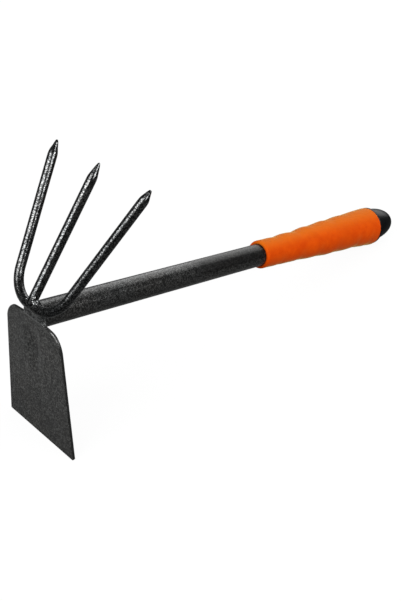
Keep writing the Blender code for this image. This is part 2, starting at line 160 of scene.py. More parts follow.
def hammered(P, N, pits=0.07, cell=1.25, sway=0.03, salt=1):
    """Moves points along their normals by the dimples of a hammered enamel.

    Returns the points and how deep in a dimple each one is, from 0 to 1."""
    d = cells(P, cell, salt)
    e = cells(P, cell * 0.55, salt + 3)
    bowl = np.clip(1 - (d / 0.66) ** 2, 0, 1)
    fine = np.clip(1 - (e / 0.66) ** 2, 0, 1)
    h = -pits * (bowl + 0.28 * fine) + sway * (lattice(P, 3.6, salt + 5) - 0.5) * 2
    return P + N * h[:, None], np.clip(0.72 * bowl + 0.28 * fine, 0, 1)


# ------------------------------------------------------------------ meshes
def mesh_object(name, V, faces, smooth=True, sharp=None, **fields):
    me = bpy.data.meshes.new(name)
    me.from_pydata(place(V).tolist(), [], faces)
    me.update()
    for key, values in fields.items():
        attr = me.attributes.new(key, "FLOAT", "POINT")
        attr.data.foreach_set("value", np.asarray(values, np.float32))
    bm = bmesh.new()
    bm.from_mesh(me)
    bmesh.ops.remove_doubles(bm, verts=bm.verts[:], dist=1e-7)
    bmesh.ops.recalc_face_normals(bm, faces=bm.faces[:])
    if bm.calc_volume(signed=True) < 0:
        bmesh.ops.reverse_faces(bm, faces=bm.faces[:])
    bm.to_mesh(me)
    bm.free()
    if smooth:
        me.shade_smooth()
        if sharp:
            me.set_sharp_from_angle(angle=radians(sharp))
    ob = bpy.data.objects.new(name, me)
    bpy.context.scene.collection.objects.link(ob)
    return ob


def ring_faces(n, m, wrap_rows=False, cap0=False, cap1=False):
    """Quads of n rings of m points each."""
    faces = []
    rows = n if wrap_rows else n - 1
    for i in range(rows):
        a, b = i * m, ((i + 1) % n) * m
        faces += [(a + j, a + (j + 1) % m, b + (j + 1) % m, b + j) for j in range(m)]
    if cap0:
        faces.append(tuple(range(m - 1, -1, -1)))
    if cap1:
        faces.append(tuple(range((n - 1) * m, n * m)))
    return faces


def settle(ob, body, node, mat):
    ob.data.materials.clear()
    ob.data.materials.append(mat)
    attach(ob, body)
    if node:
        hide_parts(*([node] if isinstance(node, str) else node))
    return ob


# ------------------------------------------------------------------ materials
def new_material(name):
    mat = bpy.data.materials.new(name)
    mat.use_nodes = True
    nt = mat.node_tree
    bsdf = next(n for n in nt.nodes if n.type == "BSDF_PRINCIPLED")
    return mat, nt, bsdf


def node(nt, kind, **props):
    n = nt.nodes.new(kind)
    for k, v in props.items():
        setattr(n, k, v)
    return n


def ramp(nt, fac, stops):
    r = node(nt, "ShaderNodeValToRGB")
    els = r.color_ramp.elements
    while len(els) < len(stops):
        els.new(0.5)
    for e, (p, c) in zip(els, stops):
        e.position = p
        e.color = (c, c, c, 1) if isinstance(c, (int, float)) else (*c, 1)
    nt.links.new(fac, r.inputs["Fac"])
    return r.outputs["Color"]


def tex(nt, coord, kind, scale, detail=2.0, rough=0.5, **props):
    n = node(nt, kind, **props)
    n.inputs["Scale"].default_value = scale
    if "Detail" in n.inputs:
        n.inputs["Detail"].default_value = detail
    if "Roughness" in n.inputs:
        n.inputs["Roughness"].default_value = rough
    nt.links.new(coord, n.inputs["Vector"])
    return n


def mix_rgb(nt, fac, a, b, blend="MIX"):
    m = node(nt, "ShaderNodeMix", data_type="RGBA", blend_type=blend)
    for sock, val in ((m.inputs["Factor"], fac), (m.inputs["A"], a), (m.inputs["B"], b)):
        pass
    col = [i for i in m.inputs if i.type == "RGBA"]
    f = [i for i in m.inputs if i.name == "Factor" and i.type == "VALUE"][0]
    for sock, val in ((f, fac), (col[0], a), (col[1], b)):
        if hasattr(val, "default_value") or hasattr(val, "links"):
            nt.links.new(val, sock)
        elif isinstance(val, (int, float)):
            sock.default_value = val
        else:
            sock.default_value = (*val, 1) if len(val) == 3 else val
    return [o for o in m.outputs if o.type == "RGBA"][0]


def math_node(nt, op, a, b=None, clamp=False):
    n = node(nt, "ShaderNodeMath", operation=op, use_clamp=clamp)
    for i, v in enumerate((a, b)):
        if v is None:
            continue
        if isinstance(v, (int, float)):
            n.inputs[i].default_value = v
        else:
            nt.links.new(v, n.inputs[i])
    return n.outputs[0]


def field(nt, name):
    n = node(nt, "ShaderNodeAttribute")
    n.attribute_type = "GEOMETRY"
    n.attribute_name = name
    return n.outputs["Fac"]


def enamel(name, dark, light, metal, rough, spread=0.16, bump=0.5, depth=0.5, cut=(0.30, 0.62), tint=0.6, dull=None, worn=None):
    """Hammered black enamel: leafy metal flake that floats in the dimples, glossy, rougher on the ridges."""
    mat, nt, bsdf = new_material(name)
    co = node(nt, "ShaderNodeTexCoord").outputs["Object"]
    fine = tex(nt, co, "ShaderNodeTexNoise", 1150.0, 2.0, 0.6)
    grit = tex(nt, co, "ShaderNodeTexVoronoi", 1150.0, feature="F1")
    broad = tex(nt, co, "ShaderNodeTexNoise", 48.0, 3.0, 0.55)
    patch = tex(nt, co, "ShaderNodeTexNoise", 240.0, 3.0, 0.55)
    f = math_node(nt, "MULTIPLY", field(nt, "dimple"), depth)
    f = math_node(nt, "ADD", f, math_node(nt, "MULTIPLY", fine.outputs["Fac"], 0.9 - 0.4 * depth))
    f = math_node(nt, "ADD", f, math_node(nt, "MULTIPLY", patch.outputs["Fac"], 0.30))
    f = math_node(nt, "SUBTRACT", f, 0.30)
    f = ramp(nt, f, [(cut[0], 0.0), (cut[1], 1.0)])
    base = mix_rgb(nt, f, dark, light)
    cast = ramp(nt, broad.outputs["Fac"], [(0.32, (0.84, 0.89, 0.90)), (0.68, (1.13, 1.10, 1.05))])
    base = mix_rgb(nt, tint, base, cast, "MULTIPLY")
    # this field darkens and roughens the paint: heat-dulled paint on the bent bar and the prong's base, painted shade
    # on the tube and towards the plate's bottom
    if dull:
        base = mix_rgb(nt, field(nt, "dull"), base, (dull, dull, dull), "MULTIPLY")
    # a lighter, glossier grey on rubbed edges: partly worn paint, partly a painted highlight
    if worn:
        rub = math_node(nt, "MULTIPLY", field(nt, "worn"), ramp(nt, patch.outputs["Fac"], [(0.42, 0.15), (0.56, 1.0)]))
        base = mix_rgb(nt, rub, base, worn)
    nt.links.new(base, bsdf.inputs["Base Color"])
    bsdf.inputs["Metallic"].default_value = metal
    r = math_node(nt, "MULTIPLY", patch.outputs["Fac"], spread)
    r = math_node(nt, "ADD", r, math_node(nt, "MULTIPLY", grit.outputs["Distance"], spread * 0.8))
    r = math_node(nt, "ADD", r, rough - 0.75 * spread, clamp=True)
    if dull:
        r = math_node(nt, "ADD", r, math_node(nt, "MULTIPLY", field(nt, "dull"), 0.12), clamp=True)
    if worn:
        r = math_node(nt, "SUBTRACT", r, math_node(nt, "MULTIPLY", field(nt, "worn"), 0.12), clamp=True)
    nt.links.new(r, bsdf.inputs["Roughness"])
    bsdf.inputs["IOR"].default_value = 1.55
    h = math_node(nt, "ADD", math_node(nt, "MULTIPLY", grit.outputs["Distance"], 0.6), math_node(nt, "MULTIPLY", fine.outputs["Fac"], 0.8))
    bn = node(nt, "ShaderNodeBump")
    bn.inputs["Strength"].default_value = bump
    bn.inputs["Distance"].default_value = 0.00016
    nt.links.new(h, bn.inputs["Height"])
    nt.links.new(bn.outputs["Normal"], bsdf.inputs["Normal"])
    return mat


def soft_grip(name):
    """Orange foamed rubber: fine pores, soft sheen, a greyer tone in the valleys of the lower side."""
    mat, nt, bsdf = new_material(name)
    co = node(nt, "ShaderNodeTexCoord").outputs["Object"]
    fine = tex(nt, co, "ShaderNodeTexNoise", 1500.0, 3.0, 0.6)
    mid = tex(nt, co, "ShaderNodeTexNoise", 120.0, 4.0, 0.55)
    broad = tex(nt, co, "ShaderNodeTexNoise", 28.0, 3.0, 0.5)
    pores = tex(nt, co, "ShaderNodeTexVoronoi", 1500.0, feature="F1")
    col = mix_rgb(nt, ramp(nt, mid.outputs["Fac"], [(0.35, 0.0), (0.68, 1.0)]), (0.480, 0.042, 0.0004), (0.560, 0.060, 0.0008))
    col = mix_rgb(nt, ramp(nt, broad.outputs["Fac"], [(0.36, 0.0), (0.64, 0.6)]), col, (0.460, 0.050, 0.0010))
    col = mix_rgb(nt, math_node(nt, "MULTIPLY", field(nt, "soil"), ramp(nt, mid.outputs["Fac"], [(0.38, 0.2), (0.60, 1.0)])), col, (0.34, 0.075, 0.016))
    # painted highlight: the upper side is given a paler, yellower orange where the light falls on it
    col = mix_rgb(nt, field(nt, "fade"), col, (0.530, 0.112, 0.0050))
    pt = ramp(nt, pores.outputs["Distance"], [(0.0, 0.80), (0.35, 1.0)])
    col = mix_rgb(nt, 0.5, col, pt, "MULTIPLY")
    nt.links.new(col, bsdf.inputs["Base Color"])
    nt.links.new(math_node(nt, "ADD", math_node(nt, "MULTIPLY", fine.outputs["Fac"], 0.2), 0.50), bsdf.inputs["Roughness"])
    bsdf.inputs["Specular IOR Level"].default_value = 0.02
    bsdf.inputs["Sheen Weight"].default_value = 0.44
    bsdf.inputs["Sheen Roughness"].default_value = 0.26
    bsdf.inputs["Sheen Tint"].default_value = (0.70, 0.90, 0.35, 1)
    h = math_node(nt, "ADD", math_node(nt, "MULTIPLY", pores.outputs["Distance"], 0.6), math_node(nt, "MULTIPLY", fine.outputs["Fac"], 0.6))
    bn = node(nt, "ShaderNodeBump")
    bn.inputs["Strength"].default_value = 0.30
    bn.inputs["Distance"].default_value = 0.00015
    nt.links.new(h, bn.inputs["Height"])
    nt.links.new(bn.outputs["Normal"], bsdf.inputs["Normal"])
    return mat


def black_plastic(name):
    """Satin black moulded plastic with a faint grain and handling marks."""
    mat, nt, bsdf = new_material(name)
    co = node(nt, "ShaderNodeTexCoord").outputs["Object"]
    grain = tex(nt, co, "ShaderNodeTexNoise", 1800.0, 3.0, 0.6)
    smear = tex(nt, co, "ShaderNodeTexNoise", 90.0, 4.0, 0.6)
    col = mix_rgb(nt, ramp(nt, smear.outputs["Fac"], [(0.40, 0.0), (0.70, 1.0)]), (0.0020, 0.0022, 0.0024), (0.0040, 0.0044, 0.0050))
    nt.links.new(col, bsdf.inputs["Base Color"])
    r = math_node(nt, "ADD", math_node(nt, "MULTIPLY", smear.outputs["Fac"], 0.14), 0.29)
    nt.links.new(r, bsdf.inputs["Roughness"])
    bsdf.inputs["Specular IOR Level"].default_value = 0.24
    bn = node(nt, "ShaderNodeBump")
    bn.inputs["Strength"].default_value = 0.15
    bn.inputs["Distance"].default_value = 0.0001
    nt.links.new(grain.outputs["Fac"], bn.inputs["Height"])
    nt.links.new(bn.outputs["Normal"], bsdf.inputs["Normal"])
    return mat


ROD_PAINT = enamel("rod_enamel", (0.028, 0.029, 0.030), (0.236, 0.239, 0.241), 0.93, 0.17, 0.10, 0.26, dull=0.42)
TUBE_PAINT = enamel("tube_enamel", (0.029, 0.029, 0.0288), (0.127, 0.127, 0.126), 0.72, 0.17, 0.10, 0.26, dull=0.30)
BLADE_PAINT = enamel("blade_enamel", (0.0165, 0.0167, 0.0162), (0.119, 0.1197, 0.1165), 0.35, 0.35, 0.13, 0.45, cut=(0.34, 0.60), tint=0.35,
                     dull=0.74, worn=(0.19, 0.19, 0.19))
GRIP_MAT = soft_grip("orange_grip")
CAP_MAT = black_plastic("cap_plastic")


# ------------------------------------------------------------------ prongs
PITS, CELL, SWAY = 0.012, 0.9, 0.020


def swept(C, r, up, sides):
    """A round bar along the points C with radii r, its skin hammered."""
    T = np.gradient(C, axis=0)
    T /= np.linalg.norm(T, axis=1)[:, None]
    e1 = up - T * (T @ up)[:, None]
    e1 /= np.linalg.norm(e1, axis=1)[:, None]
    e2 = np.cross(T, e1)
    a = np.linspace(0, 2 * pi, sides, endpoint=False)
    N = e1[:, None, :] * np.cos(a)[None, :, None] + e2[:, None, :] * np.sin(a)[None, :, None]
    P = C[:, None, :] + N * (r + FILM * np.clip(r / 0.8, 0, 1))[:, None, None]
    n = len(C)
    P, N = P.reshape(-1, 3), N.reshape(-1, 3)
    k = np.repeat(np.clip((r - 0.5) / 1.5, 0, 1), sides)
    H, pit = hammered(P, N, PITS, CELL, SWAY, 3)
    return P + (H - P) * k[:, None], ring_faces(n, sides, cap0=True, cap1=True), pit


# radius of each ground point at a distance from its tip: near, far and middle prong
CONES = (((0.0, 0.30), (0.12, 0.55), (0.5, 0.80), (1, 1.00), (2, 1.36), (3, 1.67), (4, 2.02), (5, 2.36), (6, 2.69), (7, 2.90), (8, 2.99), (9.4, 3.03)),
         ((0.0, 0.28), (0.12, 0.50), (0.5, 0.70), (1, 0.89), (2, 1.19), (3, 1.43), (4, 1.66), (5, 1.96), (6, 2.29), (7, 2.58), (8, 2.81), (9, 2.95), (10.4, 3.03)),
         ((0.0, 0.24), (0.12, 0.44), (0.5, 0.62), (1, 0.80), (2, 1.15), (3, 1.44), (4, 1.68), (5, 1.92), (6, 2.16), (7, 2.40), (8, 2.65), (9, 2.86), (10, 2.98), (11.4, 3.03)))


def cone_radius(d, which):
    """Bar radius at a distance d from the tip: a cone ground by hand, its point blunt."""
    q, r = zip(*CONES[which])
    fine = np.interp(d, q, r)
    return sum(np.interp(d + e, q, r) for e in (-0.5, -0.25, 0, 0.25, 0.5)) / 5 * (d > 0.8) + fine * (d <= 0.8)


def bow_line(step=0.26):
    turn = pi / 2 - BOW_ARM
    arc = BOW_R * turn
    t1 = BOW_T + BOW_R * (1 - cos(turn))
    y1 = BOW_FLAT + BOW_R * sin(turn)
    out = []
    for side, tip in zip((-1, 1), BOW_TIPS):
        arm = (tip - t1) / cos(BOW_ARM)
        total = BOW_FLAT + arc + arm
        n = int(total / step)
        s = np.linspace(0, total, n + 1)
        # closer rings at the point
        s = np.concatenate([s[s < total - 1.6], total - np.array([1.5, 1.2, 0.95, 0.7, 0.5, 0.34, 0.2, 0.1, 0.03, 0.0])])
        a = np.clip((s - BOW_FLAT) / BOW_R, 0, turn)
        t = BOW_T + BOW_R * (1 - np.cos(a))
        y = np.minimum(s, BOW_FLAT) + BOW_R * np.sin(a)
        q = np.clip(s - BOW_FLAT - arc, 0, None)
        t, y = t + q * cos(BOW_ARM), y + q * sin(BOW_ARM)
        lean = np.clip((8.0 - (total - s)) / 6.5, 0, 1)
        y = y - 0.40 * lean * lean * (3 - 2 * lean)          # ground more on the outer side
        out.append((t, side * y, cone_radius(total - s, 0 if side < 0 else 1)))
    (ta, ya, ra), (tb, yb, rb) = out
    t = np.concatenate([ta[::-1], tb[1:]])
    y = np.concatenate([ya[::-1], yb[1:]])
    r = np.concatenate([ra[::-1], rb[1:]])
    return fork(t, y), r


C, r = bow_line()
V, F, pit = swept(C, r, FN, 72)
# the paint lies thicker and duller over the heated bend
heat = 1 - np.clip(((V - FO) @ FD - 16.0) / 16.0, 0, 1)
bow = settle(mesh_object("fork_rod", V, F, sharp=50, dimple=pit, dull=0.5 * heat), "root", "tine_bow", ROD_PAINT)

t = np.concatenate([np.linspace(TINE_BASE, TINE_TIP - 1.6, 360), TINE_TIP - np.array([1.5, 1.2, 0.95, 0.7, 0.5, 0.34, 0.2, 0.1, 0.03, 0.0])])
C = fork(t, np.zeros_like(t), np.full_like(t, TINE_OFF))
r = cone_radius(TINE_TIP - t, 2)
r[:2] = (ROD_R - 0.35, ROD_R - 0.08)
V, F, pit = swept(C, r, FN, 72)
heat = np.clip((14.5 - (V - FO) @ FD) / 3.0, 0, 1)
# painted shade: below the weld lumps the prong's base is pushed to the dark flake colour
pit = pit - 1.2 * np.clip((13.0 - (V - FO) @ FD) / 1.5, 0, 1)
tine = settle(mesh_object("middle_prong", V, F, sharp=50, dimple=pit, dull=heat), "root", "centre_tine", ROD_PAINT)

# ------------------------------------------------------------------ tube
M = 160
xs = np.concatenate([[TUBE_X0, TUBE_X0 + 0.06, TUBE_X0 + 0.2], np.arange(0.5, 206.0, 0.34), np.linspace(212, TUBE_X1 - 0.2, 24), [TUBE_X1]])
ro = np.full(len(xs), TUBE_R)
ro[:3] = (TUBE_R - 0.22, TUBE_R - 0.07, TUBE_R)
ro += FILM * np.clip((GRIP_X0 + 0.5 - xs) / 1.5, 0, 1)
ro[-1] = TUBE_R - 0.2
xi = np.concatenate([[TUBE_X1], np.linspace(TUBE_X1 - 0.3, 40, 12), np.linspace(36, TUBE_X0 + 0.2, 10), [TUBE_X0]])
ri = np.full(len(xi), TUBE_R - TUBE_WALL)
ri[0] += 0.2
ri[-1] += 0.2
a = np.linspace(0, 2 * pi, M, endpoint=False)
U = np.stack([np.zeros(M), np.sin(a), np.cos(a)], 1)
outer = np.array([[x, 0, 0] for x in xs])[:, None, :] + U[None] * ro[:, None, None]
N = np.broadcast_to(U[None], outer.shape).reshape(-1, 3)
outer, pit = hammered(outer.reshape(-1, 3), N, 0.0120, 1.15, 0.020, 3)
inner = (np.array([[x, 0, 0] for x in xi])[:, None, :] + U[None] * ri[:, None, None]).reshape(-1, 3)
V = np.vstack([outer, inner])
pit = np.concatenate([pit, np.full(len(inner), 0.3)])
# painted shade: the enamel is darker and rougher on its top towards the sleeve and on the underside of the head end;
# painted highlight: its top at the head end is kept lighter
_x, _ny, _nz = np.repeat(xs, M), np.tile(U[:, 1], len(xs)), np.tile(U[:, 2], len(xs))


def ease(lo, hi, v):
    v = np.clip((v - lo) / (hi - lo), 0, 1)
    return v * v * (3 - 2 * v)


slid = ease(108, 150, _x) * ease(0.08, 0.36, _nz) * (1 - ease(0.05, 0.30, _ny)) * (1 - 0.20 * ease(0.80, 0.95, _nz))
under = (1 - ease(112, 150, _x)) * ease(-0.05, 0.35, -_nz)
fresh = (1 - ease(108, 150, _x)) * ease(-0.15, 0.12, _nz)
matt = np.concatenate([np.clip(0.185 + 0.815 * slid + 0.358 * under - 0.185 * fresh, 0, 1), np.full(len(inner), 0.5)])
tube = settle(mesh_object("handle_pipe", V, ring_faces(len(xs) + len(xi), M, wrap_rows=True), sharp=40, dimple=pit, dull=matt),
              "root", "handle_tube", TUBE_PAINT)


# ------------------------------------------------------------------ blade
def step3(a, b, v):
    v = np.clip((v - a) / (b - a), 0, 1)
    return v * v * (3 - 2 * v)


def top_edge(y):
    return 0.3 + 0.0035 * y * y


def half_outline(pull):
    """One side of the plate, from the middle of its top edge round to the middle of its bottom."""
    y = np.linspace(0, SHOULDER_Y, 60)
    pts = [np.stack([top_edge(y), y], 1)]
    s0, y0 = top_edge(SHOULDER_Y), SHOULDER_Y
    y3 = BLADE_HALF + BLADE_FLARE * SHOULDER_S
    p1 = np.array([s0 + pull[0] * 0.007 * SHOULDER_Y, y0 + pull[0]])
    p2 = np.array([SHOULDER_S - pull[1], y3 - pull[1] * BLADE_FLARE])
    u = np.linspace(0, 1, 61)[1:, None]
    pts.append((1 - u) ** 3 * np.array([s0, y0]) + 3 * u * (1 - u) ** 2 * p1 + 3 * u * u * (1 - u) * p2 + u ** 3 * np.array([SHOULDER_S, y3]))
    turn1 = 60 + 30
    rb = 0.9
    s = np.linspace(SHOULDER_S, BLADE_LEN - rb, 200)[1:]
    pts.append(np.stack([s, BLADE_HALF + BLADE_FLARE * s], 1))
    yc = BLADE_HALF + BLADE_FLARE * (BLADE_LEN - rb) - rb
    w = np.linspace(0, pi / 2, 13)[1:]
    pts.append(np.stack([BLADE_LEN - rb + rb * np.sin(w), yc + rb * np.cos(w)], 1))
    turn2 = 60 + 60 + 199 + 5
    yb = np.linspace(yc, 0, 80)[1:]
    pts.append(np.stack([np.full(len(yb), BLADE_LEN), yb], 1))
    return np.vstack(pts), turn1, turn2


def resampled(P, n):
    d = np.concatenate([[0], np.cumsum(np.linalg.norm(np.diff(P, axis=0), axis=1))])
    t = np.linspace(0, d[-1], n)
    return np.stack([np.interp(t, d, P[:, k]) for k in (0, 1)], 1)


def dimple(s, y, back=False):
    """Pressed hollow: a long gentle wall on the far side, a short steep one near, fading at its lower end."""
    if back:
        along = step3(DIMPLE_TOP, DIMPLE_TOP + 8.0, s) * (1 - step3(23.0, DIMPLE_END, s))
        up = np.sqrt(np.clip(1 - ((DIMPLE_TOP + DIMPLE_HALF - s) / DIMPLE_HALF) ** 2, 1e-4, 1))
        half = DIMPLE_HALF * np.where(s < DIMPLE_TOP + DIMPLE_HALF, up, 1 - 0.60 * step3(22.0, DIMPLE_END, s))
        return DIMPLE_DEPTH * along * (1 - step3(0.35, 1.0, np.abs(y / half))) * step3(11.2, 14.8, s)
    along = step3(DIMPLE_TOP - 0.6, DIMPLE_TOP + 11.0, s) * (1 - step3(24.0, 47.0, s))
    up = np.sqrt(np.clip(1 - ((14.0 - s) / 9.5) ** 2, 1e-4, 1))
    close = np.where(s < 14.0, up, 1 - 0.35 * step3(24.0, 47.0, s))
    v = np.where(y < -1.2, (y + 1.2) / (-6.6 * close), (y + 1.2) / (13.6 * close))
    wall = np.where(y < -1.2, 1 - step3(0.12, 1.0, v), 1 - step3(0.0, 1.0, v))
    return 1.45 * along * wall


NU, NV = 196, 128                      # quads down and across the plate
(far, f1, f2), (near, n1, n2) = half_outline(PULL_FAR), half_outline(PULL_NEAR)
near = near * np.array([1, -1])
top = resampled(np.vstack([near[:n1 + 1][::-1], far[1:f1 + 1]]), NV + 1)
low = resampled(np.vstack([near[n2:], far[f2:][::-1][1:]]), NV + 1)
side_n, side_f = resampled(near[n1:n2 + 1], NU + 1), resampled(far[f1:f2 + 1], NU + 1)
# the closed edge: along the top, down the far side, back along the bottom, up the near side
outline = np.vstack([top[:-1], side_f[:-1], low[::-1][:-1], side_n[::-1][:-1]])
nb = len(outline)
e = np.roll(outline, -1, 0) - np.roll(outline, 1, 0)
e /= np.linalg.norm(e, axis=1)[:, None]
inward = np.stack([-e[:, 1], e[:, 0]], 1)
flip = ((np.array([50.0, 0.0]) - outline) * inward).sum(1) < 0
inward[flip] *= -1
EDGE = 0.36
back_w = EDGE + 0.36 * np.clip((13.0 - outline[:, 0]) / 6.0, 0, 1)
# the near shoulder is ground to a narrow flat
_lean = np.degrees(np.arctan2(inward[:, 1], inward[:, 0]))
ground = np.where(outline[:, 1] < -15, step3(4, 16, _lean) * (1 - step3(46, 66, _lean)), 0.0)
front_w = EDGE + 0.20 * ground


def plate_grid(loop):
    """A grid of points inside the closed edge, evenly spread."""
    a, b = NV, NV + NU
    T, Rr = loop[:a + 1], loop[a:b + 1]
    B, L = loop[b:b + NV + 1][::-1], np.vstack([loop[b + NV:], loop[:1]])[::-1]
    u = np.linspace(0, 1, NU + 1)[:, None, None]
    v = np.linspace(0, 1, NV + 1)[None, :, None]
    return ((1 - u) * T[None] + u * B[None] + (1 - v) * L[:, None] + v * Rr[:, None]
            - (1 - u) * (1 - v) * T[0] - (1 - u) * v * T[-1] - u * (1 - v) * B[0] - u * v * B[-1])


def grid_index(base):
    """Numbers of the grid's edge points, in the order of the closed edge."""
    g = base + np.arange((NU + 1) * (NV + 1)).reshape(NU + 1, NV + 1)
    return g, np.concatenate([g[0, :-1], g[:-1, -1], g[-1, ::-1][:-1], g[::-1, 0][:-1]])


verts, norms, faces = [], [], []
front = plate_grid(outline + inward * front_w[:, None])
rear = plate_grid(outline + inward * back_w[:, None])
g0, loop0 = grid_index(0)
g1, loop1 = grid_index(g0.size)
for G, g, back in ((front, g0, False), (rear, g1, True)):
    S, Y = G[..., 0].ravel(), G[..., 1].ravel()
    verts.append(plate(S, Y, (BLADE_T if back else 0.0) + dimple(S, Y, back)))
    norms.append(np.broadcast_to(BN if back else -BN, (S.size, 3)))
    q = np.stack([g[:-1, :-1], g[:-1, 1:], g[1:, 1:], g[1:, :-1]], -1).reshape(-1, 4)
    faces += (q if back else q[:, ::-1]).tolist()
out3 = -(inward[:, :1] * BD + inward[:, 1:] * YY)
count = g0.size + g1.size
last = loop0
STEPS = 5
for k in range(1, STEPS + 1):
    w = pi / 2 * k / STEPS
    f = k / STEPS
    off = front_w * ((1 - ground) * (1 - sin(w)) + ground * (1 - f))
    deep = front_w * ((1 - ground) * (1 - cos(w)) + ground * f)
    sy = outline + inward * off[:, None]
    verts.append(plate(sy[:, 0], sy[:, 1], deep))
    norms.append(out3 * sin(w) - BN * cos(w))
    ring = count + np.arange(nb)
    faces += np.stack([last, ring, np.roll(ring, -1), np.roll(last, -1)], 1).tolist()
    last, count = ring, count + nb
for k in range(0, STEPS):
    w = pi / 2 * (1 - k / STEPS)
    sy = outline + inward * (back_w * (1 - sin(w)))[:, None]
    verts.append(plate(sy[:, 0], sy[:, 1], BLADE_T - back_w * (1 - cos(w))))
    norms.append(out3 * sin(w) + BN * cos(w))
    ring = count + np.arange(nb)
    faces += np.stack([last, ring, np.roll(ring, -1), np.roll(last, -1)], 1).tolist()
    last, count = ring, count + nb
faces += np.stack([last, loop1, np.roll(loop1, -1), np.roll(last, -1)], 1).tolist()
P, N = np.concatenate(verts), np.concatenate(norms)
V, pit = hammered(P, N, 0.021, 0.8, 0.018, 3)
# the ground shoulder's rounded edge: partly worn paint, partly a painted highlight for its glint
rub = np.zeros(len(V))
edge0 = g0.size + g1.size
rub[edge0:edge0 + 3 * nb] = np.tile(ground, 3)
# painted shade: the enamel round the narrow edge is made dark
pit[edge0 + 3 * nb:edge0 + 8 * nb] = -1.3
# painted shade: the plate's colour darkens towards its bottom edge
low_end = np.clip(((V - BO) @ BD - 45.0) / 50.0, 0, 1)
blade = settle(mesh_object("hoe_plate", V, faces, sharp=60, dimple=pit, dull=low_end, worn=rub), "root", "hoe_blade", BLADE_PAINT)


# ------------------------------------------------------------------ welds
def smin(a, b, k):
    h = np.clip(0.5 + 0.5 * (b - a) / k, 0, 1)
    return b * (1 - h) + a * h - k * h * (1 - h)


def d_bow(P):
    Q = P - FO
    t, y, o = Q @ FD, Q[..., 1], Q @ FN
    ay = np.abs(y)
    rho = np.hypot(t - BOW_T - BOW_R, ay - BOW_FLAT)
    off = np.where(ay < BOW_FLAT, t - BOW_T, BOW_R - rho)
    return np.hypot(off, o) - ROD_R


def d_tine(P):
    Q = P - FO
    t, y, o = Q @ FD, Q[..., 1], Q @ FN
    return np.maximum(np.hypot(o - TINE_OFF, y) - ROD_R, TINE_BASE - t)


def d_tube(P):
    return np.maximum(np.hypot(P[..., 1], P[..., 2]) - TUBE_R, TUBE_X0 - P[..., 0])


def d_blade(P):
    Q = P - BO
    s, y, o = Q @ BD, Q[..., 1], Q @ BN
    return np.maximum(np.abs(o - BLADE_T / 2) - BLADE_T / 2, top_edge(np.abs(y)) - s)


def d_path(P, pts, rad, k=0.35):
    """Distance to a run of overlapping puddles."""
    out = np.full(P.shape[:-1], 1e3)
    for p, q in zip(pts, rad):
        out = smin(out, np.linalg.norm(P - p, axis=-1) - q, k)
    return out


def surface_nets(F, lo, h):
    """Quads of the zero surface of a sampled field."""
    nx, ny, nz = F.shape
    inside = F < 0
    cnt = np.zeros((nx - 1, ny - 1, nz - 1))
    acc = np.zeros((nx - 1, ny - 1, nz - 1, 3))
    corner = [(i, j, k) for i in (0, 1) for j in (0, 1) for k in (0, 1)]

    def sub(A, c):
        return A[c[0]:c[0] + nx - 1, c[1]:c[1] + ny - 1, c[2]:c[2] + nz - 1]

    for a_ in corner:
        for ax in range(3):
            if a_[ax]:
                continue
            b_ = list(a_)
            b_[ax] = 1
            fa, fb = sub(F, a_), sub(F, b_)
            cross = sub(inside, a_) != sub(inside, b_)
            tt = np.where(cross, fa / np.where(fa - fb == 0, 1, fa - fb), 0)
            p = np.zeros(fa.shape + (3,))
            for d in range(3):
                p[..., d] = a_[d] + (tt if d == ax else 0)
            acc += p * cross[..., None]
            cnt += cross
    live = cnt > 0
    idx = np.full(live.shape, -1)
    idx[live] = np.arange(live.sum())
    G = np.stack(np.nonzero(live), 1)
    V = lo + (G + acc[live] / cnt[live][:, None]) * h
    faces = []
    for ax in range(3):
        u, w = [d for d in range(3) if d != ax]
        sl0 = [slice(None)] * 3
        sl1 = [slice(None)] * 3
        sl0[ax], sl1[ax] = slice(0, -1), slice(1, None)
        cross = inside[tuple(sl0)] != inside[tuple(sl1)]
        E = np.stack(np.nonzero(cross), 1)
        ok = (E[:, u] > 0) & (E[:, w] > 0) & (E[:, u] < F.shape[u] - 1) & (E[:, w] < F.shape[w] - 1)
        E = E[ok]
        sgn = inside[E[:, 0], E[:, 1], E[:, 2]]

        def at(du, dw):
            K = E.copy()
            K[:, u] -= du
            K[:, w] -= dw
            return idx[K[:, 0], K[:, 1], K[:, 2]]

        q = np.stack([at(1, 1), at(0, 1), at(0, 0), at(1, 0)], 1)
        if ax == 1:
            sgn = ~sgn
        q[~sgn] = q[~sgn][:, ::-1]
        faces.append(q)
    return V, np.vstack(faces).tolist()


